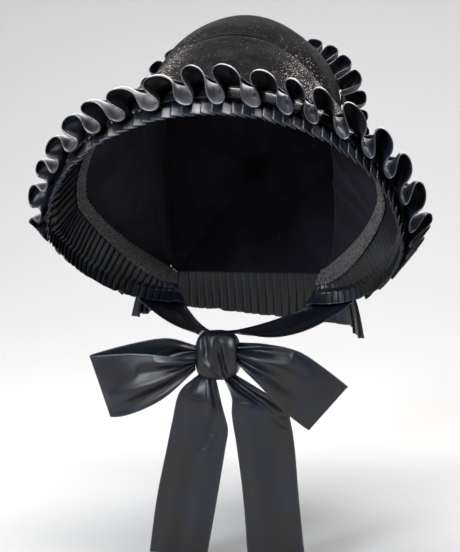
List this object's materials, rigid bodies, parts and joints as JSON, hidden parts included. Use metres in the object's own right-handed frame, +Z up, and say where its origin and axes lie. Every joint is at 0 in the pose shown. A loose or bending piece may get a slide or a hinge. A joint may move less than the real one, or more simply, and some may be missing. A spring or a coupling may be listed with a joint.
{
  "type": "poke bonnet",
  "caption": "Black velvet poke bonnet with a flared brim, pleated satin facing, upright ribbon ruffles, a neck curtain and ribbon ties in a bow.",
  "frame": {"origin": "middle of the wearer's head, where the bonnet is held up", "axes": "+Z up along the worn bonnet's height, -Y out of the brim towards the wearer's front, +X to the viewer's right from the front"},
  "size_m": [0.3576, 0.2719, 0.4878],
  "materials": {
    "black_velvet": "crushed black velvet with small glints",
    "lining_cloth": "plain matt black lining",
    "black_satin": "black satin with soft blue-grey highlights",
    "braid_cord": "matt textured gimp braid"
  },
  "bodies": {
    "root": {"crown_band": "black_velvet", "crown_tip": "black_velvet", "brim": "black_velvet", "brim_lining": "lining_cloth", "brim_pleating": "black_satin", "braid_trim": "braid_cord", "brim_ruffle": "black_satin", "crown_ruffle": "black_satin", "bavolet": "black_satin", "tie_left": "black_satin", "tie_right": "black_satin", "bow_knot": "black_satin", "bow_loop_left": "black_satin", "bow_loop_right": "black_satin", "tail_left": "black_satin", "tail_right": "black_satin"}
  },
  "joints": []
}
